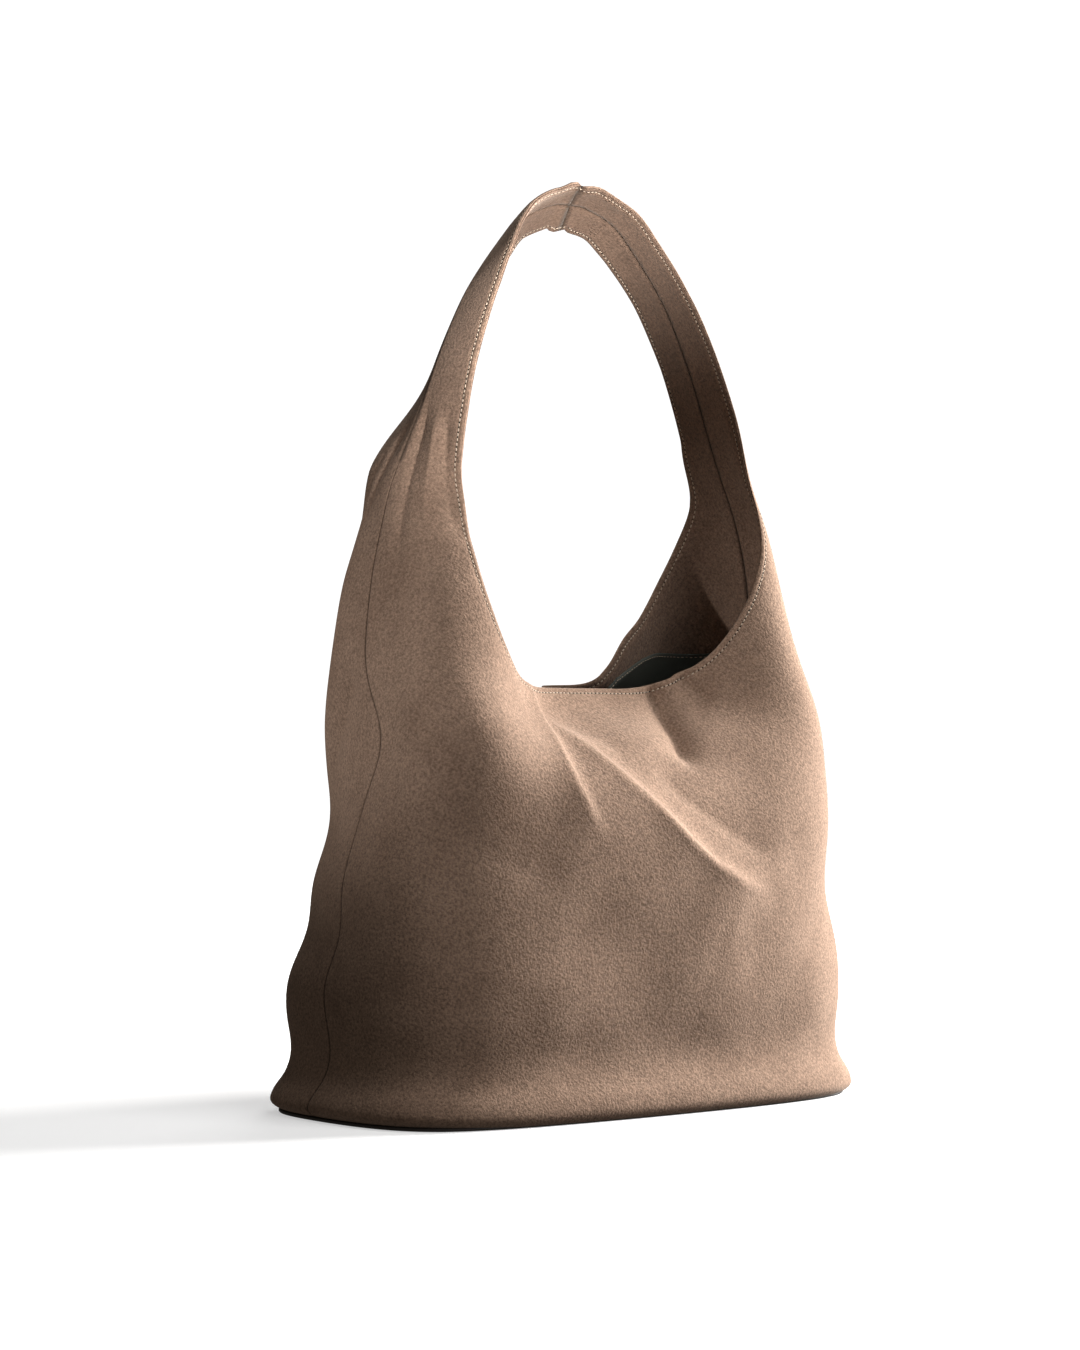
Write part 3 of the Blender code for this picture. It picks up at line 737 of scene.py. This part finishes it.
def lining_cut(start, end):
    """How far along each line, from 0 to 1, the facing ends and the lining begins."""
    t = np.linspace(0, 1, 400)
    share = start[:, None, 0] + (end - start)[:, None, 0] * t
    climb = start[:, None, 1] + (end - start)[:, None, 1] * t
    height = np.interp(climb, DENSE_CLIMB, DENSE_SEAM[:, 1])
    along = t * np.hypot((end[:, 0] - start[:, 0]) * HALF_GIRTH, end[:, 1] - start[:, 1])[:, None]
    below = (height < LINING_TOP_MIDDLE + LINING_TOP_RISE * smooth(0, LINING_TOP_SHARE, share)) & (along > FACING_LEAST)
    return np.where(below.any(1), t[np.argmax(below, axis=1)], 1.0)


def facing_steps(start, end):
    cut = lining_cut(start, end)
    span = np.hypot((end[:, 0] - start[:, 0]) * HALF_GIRTH, end[:, 1] - start[:, 1])
    first = np.array(EDGE_STEPS)[None, :] / span[:, None]
    first = np.minimum(first, cut[:, None] * np.linspace(0, 0.35, len(EDGE_STEPS))[None, :])
    rest = np.linspace(0, 1, 25)[1:]
    return np.concatenate((first, first[:, -1:] + (cut[:, None] - first[:, -1:]) * rest[None, :]), axis=1)


def make_facing(face_name, face):
    panel = Panel(face, steps=facing_steps)
    rise = FACING_EDGE_RISE * (1 - smooth(0.001, 0.007, panel.edge_distance))
    near = panel.at_depth(FACING_DEPTHS[0], rise)
    far = panel.at_depth(FACING_DEPTHS[1], rise - inner_detail(panel))
    rim = rim_row(near, far, 0.0005)
    piece = closed_sheet(f"{face_name}_suede_facing", near, far, SHADED_FACING_SUEDE, rim, flip=face > 0)
    paint_seam_shade(piece, panel.seam_shade_marks(), panel.seam_shade_marks())
    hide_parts(f"{face_name}_facing", *[f"strap_facing_{face_name}_{side}" for side in SIDES])
    bends_with_strap(piece)
    return panel, piece, far


def inner_detail(panel):
    groove = -0.0009 * np.exp(-((panel.seam_distance / 0.0018) ** 2))
    crown = -0.0009 * np.exp(-((panel.crown_distance / 0.0016) ** 2))
    channel = -0.00035 * np.exp(-(((panel.edge_distance - STITCH_INSET) / 0.0012) ** 2))
    roll = -0.0005 * np.exp(-((panel.edge_distance / 0.0010) ** 2))
    return groove + crown + channel + roll


def make_lining(face_name, face):
    panel = Panel(face, LINING_BOTTOM_CLIMB)
    cut = lining_cut(panel.start, panel.end)
    lines = np.flatnonzero(cut < 0.985)
    steps = np.linspace(0, 1, 40)[None, :]
    top = cut[:, None] - 0.012
    panel.set_grid(top + (1 - top) * steps)
    rows = slice(lines[0], lines[-1] + 1)
    near = panel.at_depth(LINING_DEPTHS[0])[rows]
    far = panel.at_depth(LINING_DEPTHS[1])[rows]
    piece = closed_sheet(f"{face_name}_lining_cloth", near, far, LINING, flip=face > 0)
    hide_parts(f"{face_name}_lining")
    frames = stitch_frames(piece, far[:, 0], panel.normal[rows][:, 0], face, LINING_STITCH_INSET, -1)
    thread = add_beads(f"{face_name}_lining_stitch", frames, (0.00100, 0.00030, 0.00025), THREAD)
    if face < 0:
        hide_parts("lining_stitch")
    for part in (piece, thread):
        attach(part, "bag")


def make_tape(side_name, side):
    """The stay tape behind a side seam and on up the strap: from the front panel across the seam to the back one."""
    across = np.linspace(-1, 1, 9)[None, :]
    climb = np.linspace(LINING_BOTTOM_CLIMB, TOTAL_CLIMB - 0.0003, 160)[:, None] + 0 * across
    width = TAPE_HALF_WIDTH / np.where(climb > 0.42, 0.075, HALF_GIRTH)
    place, normal = large_surface(
        1 - np.maximum(np.abs(across), 0.02) * width,
        climb,
        np.full(climb.shape, float(side)),
        np.where(across < 0, -1.0, 1.0) * np.ones(climb.shape),
    )
    near, far = (place - depth * normal for depth in TAPE_DEPTHS)
    piece = closed_sheet(f"{side_name}_stay_tape", near, far, TAPE, flip=side < 0)
    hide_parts(f"seam_tape_{side_name}", f"strap_tape_{side_name}")
    bends_with_strap(piece)


def outline_points(depth, height, count=96):
    """The inside of the bag's outline on the floor, anticlockwise from above."""
    quarter = np.linspace(0, 1, count)
    climb = np.full(count, climb_of_height(0.0055))
    turn = []
    for side, face in ((1, 1), (-1, 1), (-1, -1), (1, -1)):
        sides, faces = np.full(count, float(side)), np.full(count, float(face))
        place, normal = large_surface(quarter, climb, sides, faces)
        flat = normal.copy()
        flat[:, 2] = 0
        flat /= np.linalg.norm(flat, axis=1)[:, None]
        points = (place - depth * flat)[:-1] if side * face < 0 else (place - depth * flat)[:0:-1]
        turn.append(points)
    outline = np.concatenate(turn)
    outline[:, 2] = height
    return outline


def make_plate(name, depth, low, high, material, node):
    """A plate in the base with a slightly rounded rim."""
    rings = ((depth + 0.0006, low), (depth, low + 0.0006), (depth, high - 0.0004), (depth + 0.0004, high))
    loops = [outline_points(inset, height) for inset, height in rings]
    count = len(loops[0])
    corners = np.concatenate(loops)
    faces = [tuple(range(count))[::-1], tuple(range(3 * count, 4 * count))]
    for level in range(3):
        for n in range(count):
            a, b = level * count + n, level * count + (n + 1) % count
            faces.append((a, b, b + count, a + count))
    piece = add_mesh(name, corners, faces, material)
    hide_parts(node)
    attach(piece, "bag")
    return piece


def spaced(points, normals, pitch):
    """The points and normals again, a pitch apart along the line."""
    length = np.concatenate(((0.0,), np.cumsum(np.linalg.norm(np.diff(points, axis=0), axis=1))))
    where = np.arange(0.5 * pitch, length[-1], pitch)
    columns = [np.interp(where, length, values[:, n]) for values in (points, normals) for n in range(3)]
    return np.stack(columns[:3], axis=1), np.stack(columns[3:], axis=1)


def stitch_frames(piece, edge, normal, face, inset, sign):
    """Place, direction and up of each stitch on a piece, this far in from an edge that runs left to right."""
    tree = BVHTree.FromObject(piece, bpy.context.evaluated_depsgraph_get())
    edge, normal = spaced(edge, normal, STITCH_PITCH)
    along = np.gradient(edge, axis=0)
    along /= np.linalg.norm(along, axis=1)[:, None]
    across = np.cross(normal, along) * face
    frames = []
    for n in range(len(edge)):
        up = Vector(normal[n]) * sign
        target = Vector(edge[n] + inset * across[n]) + 0.002 * up
        place, _, _, gap = tree.ray_cast(target, -up, 0.006)
        if place is None:
            continue
        step = Vector(along[n])
        frames.append((place, (step - up * step.dot(up)).normalized(), up))
    return frames


def make_stitches(name, frames, nodes, bends, hole_shade=True):
    """Separate stitches, with painted shade of the needle holes between them: flat near-black dots on the surface."""
    slanted = [(place, (step + 0.10 * up.cross(step)).normalized(), up) for place, step, up in frames]
    pieces = [add_beads(name, slanted, (0.00105, 0.00046, 0.00036), THREAD)]
    if hole_shade:
        between = [(place + step * (0.5 * STITCH_PITCH), step, up) for place, step, up in frames]
        pieces.append(add_beads(f"{name}_holes", between, (0.00060, 0.00058, 0.00014), HOLE_SHADE))
    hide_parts(*nodes)
    for piece in pieces:
        if bends:
            bends_with_strap(piece)


def make_crown_stitches(panels):
    """The stitches down the seam across the crown of the strap."""
    front, back = panels
    points = np.concatenate((front.place[-1][5:], back.place[-1][:5:-1]))
    normals = np.concatenate((front.normal[-1][5:], back.normal[-1][:5:-1]))
    points, normals = spaced(points, normals, STITCH_PITCH)
    along = np.gradient(points, axis=0)
    frames = []
    for place, step, up in zip(points, along, normals):
        frames.append((Vector(place - 0.0009 * up), Vector(step).normalized(), Vector(up).normalized()))
    thread = add_beads("crown_stitching", frames, (0.00108, 0.00030, 0.00025), THREAD)
    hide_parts("crown_seam_stitch")
    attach(thread, "strap")


def add_beads(name, frames, radii, material):
    """Small rounded beads of the given half sizes, one at each frame."""
    rings, turns = 5, 8
    angles = np.linspace(-0.5 * math.pi, 0.5 * math.pi, rings + 2)[1:-1]
    unit = [(-1.0, 0.0, 0.0)]
    for angle in angles:
        for turn in range(turns):
            around = 2 * math.pi * turn / turns
            unit.append((math.sin(angle), math.cos(angle) * math.cos(around), math.cos(angle) * math.sin(around)))
    unit.append((1.0, 0.0, 0.0))
    unit = np.array(unit) * np.array(radii)
    faces = []
    last = len(unit) - 1
    for turn in range(turns):
        following = (turn + 1) % turns
        faces.append((0, 1 + following, 1 + turn))
        faces.append((last, last - turns + turn, last - turns + following))
        for ring in range(rings - 1):
            a, b = 1 + ring * turns + turn, 1 + ring * turns + following
            faces.append((a, b, b + turns, a + turns))
    corners, all_faces = [], []
    for place, forward, up in frames:
        side = up.cross(forward)
        axes = np.array((forward, side, up))
        offset = len(corners)
        corners += list(unit @ axes + np.array(place))
        all_faces += [tuple(corner + offset for corner in face) for face in faces]
    return add_mesh(name, corners, all_faces, material)


def make_bag():
    panels = []
    for face_name, face in FACES:
        panel, suede = make_suede(face_name, face)
        frames = stitch_frames(suede, panel.place[:, 0], panel.normal[:, 0], face, STITCH_INSET, 1)
        strap_nodes = [f"strap_stitch_{face_name}_{side}" for side in SIDES]
        make_stitches(f"{face_name}_topstitch", frames, [f"{face_name}_lip_stitch", *strap_nodes], True)
        inside, facing, far = make_facing(face_name, face)
        frames = stitch_frames(facing, far[:, 0], inside.normal[:, 0], face, STITCH_INSET, -1)
        make_stitches(f"{face_name}_facing_stitch", frames, [], True)
        make_lining(face_name, face)
        panels.append(panel)
    make_crown_stitches(panels)
    for side_name, side in zip(SIDES, (-1, 1)):
        make_tape(side_name, side)
    dark_plate = make_plate("base_leather", 0.0050, 0.0, 0.0020, NEAR_BLACK_BASE, "base_panel")
    board = make_plate("base_stiffener", 0.0090, 0.0024, 0.0044, BOARD, "base_board")
    lining = make_plate("base_lining_cloth", 0.0100, 0.0048, 0.0056, LINING, "base_lining")


# ---- floor, light and camera --------------------------------------------------------------------------------------
AZIMUTH = math.radians(-38)
CAMERA_DISTANCE = 2.30
CAMERA_HEIGHT = 0.268
FRAME_HEIGHT_AT_BAG = 0.8505
SENSOR = 36.0
AIM_SIDEWAYS = -0.018


def camera_axes():
    right = Vector((math.cos(AZIMUTH), math.sin(AZIMUTH), 0))
    forward = Vector((-math.sin(AZIMUTH), math.cos(AZIMUTH), 0))
    return right, forward


def add_camera():
    right, forward = camera_axes()
    data = bpy.data.cameras.new("camera")
    data.sensor_width = SENSOR
    data.lens = SENSOR * CAMERA_DISTANCE / FRAME_HEIGHT_AT_BAG
    camera = bpy.data.objects.new("camera", data)
    camera.location = -forward * CAMERA_DISTANCE + right * AIM_SIDEWAYS + Vector((0, 0, CAMERA_HEIGHT))
    camera.rotation_euler = forward.to_track_quat("-Z", "Y").to_euler()
    bpy.context.scene.collection.objects.link(camera)
    bpy.context.scene.camera = camera


def add_area(name, place, target, size, power, colour=(1, 1, 1)):
    data = bpy.data.lights.new(name, "AREA")
    data.shape = "RECTANGLE"
    data.size, data.size_y = size
    data.energy = power
    data.color = colour
    light = bpy.data.objects.new(name, data)
    light.location = place
    light.rotation_euler = (Vector(target) - Vector(place)).to_track_quat("-Z", "Y").to_euler()
    light.visible_camera = False
    bpy.context.scene.collection.objects.link(light)


def add_spot(name, place, target, cone, power):
    data = bpy.data.lights.new(name, "SPOT")
    data.spot_size = cone
    data.spot_blend = 1.0
    data.shadow_soft_size = 0.05
    data.energy = power
    light = bpy.data.objects.new(name, data)
    light.location = place
    light.rotation_euler = (Vector(target) - Vector(place)).to_track_quat("-Z", "Y").to_euler()
    bpy.context.scene.collection.objects.link(light)


def add_stage_sheet(name, corners, shade, glow, lights_bag):
    mesh = bpy.data.meshes.new(name)
    mesh.from_pydata([tuple(corner) for corner in corners], [], [(0, 1, 2, 3)])
    sheet = bpy.data.objects.new(name, mesh)
    material, _, shader = new_material(name, 0.95)
    shader.inputs["Base Color"].default_value = (shade, shade, shade, 1.0)
    shader.inputs["Emission Color"].default_value = (1, 1, 1, 1)
    shader.inputs["Emission Strength"].default_value = glow
    sheet.data.materials.append(material)
    sheet.visible_diffuse = lights_bag
    sheet.visible_glossy = lights_bag
    bpy.context.scene.collection.objects.link(sheet)


def add_stage():
    """A pale floor, a far floor and a backdrop that only show and don't light the bag, a key from the right and a top
    light.
    """
    right, forward = camera_axes()
    up = Vector((0, 0, 1))
    near, edge, far, wide, tall = -9.0 * forward, 0.9 * forward, 3.5 * forward, 9.0 * right, 6.0 * up
    add_stage_sheet("pale_floor", (near - wide, near + wide, edge + wide, edge - wide), 0.55, 0.50, False)
    add_stage_sheet("far_floor", (edge - wide, edge + wide, far + wide, far - wide), 0.4, 1.0, False)
    add_stage_sheet("backdrop", (far - wide, far + wide, far + wide + tall, far - wide + tall), 0.2, 1.0, False)
    world = bpy.data.worlds.new("studio")
    world.use_nodes = True
    world.node_tree.nodes["Background"].inputs["Color"].default_value = (1.0, 0.93, 0.86, 1)
    world.node_tree.nodes["Background"].inputs["Strength"].default_value = 0.10
    bpy.context.scene.world = world
    middle = Vector((0, 0, 0.28))
    add_area("key", middle + 1.9 * right + 0.85 * forward + 0.50 * up, middle, (0.8, 1.1), 208, (1.0, 0.985, 0.965))
    add_area("top", middle + 1.25 * up + 0.6 * right - 0.6 * forward, middle + 0.2 * up, (0.7, 0.7), 14)
    add_area("front_fill", middle + 1.1 * right - 1.7 * forward + 0.02 * up, middle, (1.2, 0.5), 5)
    add_area("back_fill", middle + 0.4 * right + 2.2 * forward + 0.5 * up, middle, (1.2, 1.2), 30)
    strap, crown = Vector((-0.095, 0, 0.43)), Vector((0.0, 0, 0.57))
    add_spot("strap_fill", strap + 0.8 * right - 1.25 * forward + 0.1 * up, strap + 0.03 * up, 0.17, 145)
    add_spot("crown_fill", crown + 0.3 * right - 1.3 * forward - 0.50 * up, crown, 0.20, 190)
    shoulder = Vector((-0.15, 0, 0.27))
    add_spot("shoulder_fill", shoulder - 1.3 * right - 0.5 * forward + 0.1 * up, shoulder, 0.24, 50)
    bpy.context.scene.view_settings.view_transform = "Standard"


make_bag()
add_camera()
add_stage()
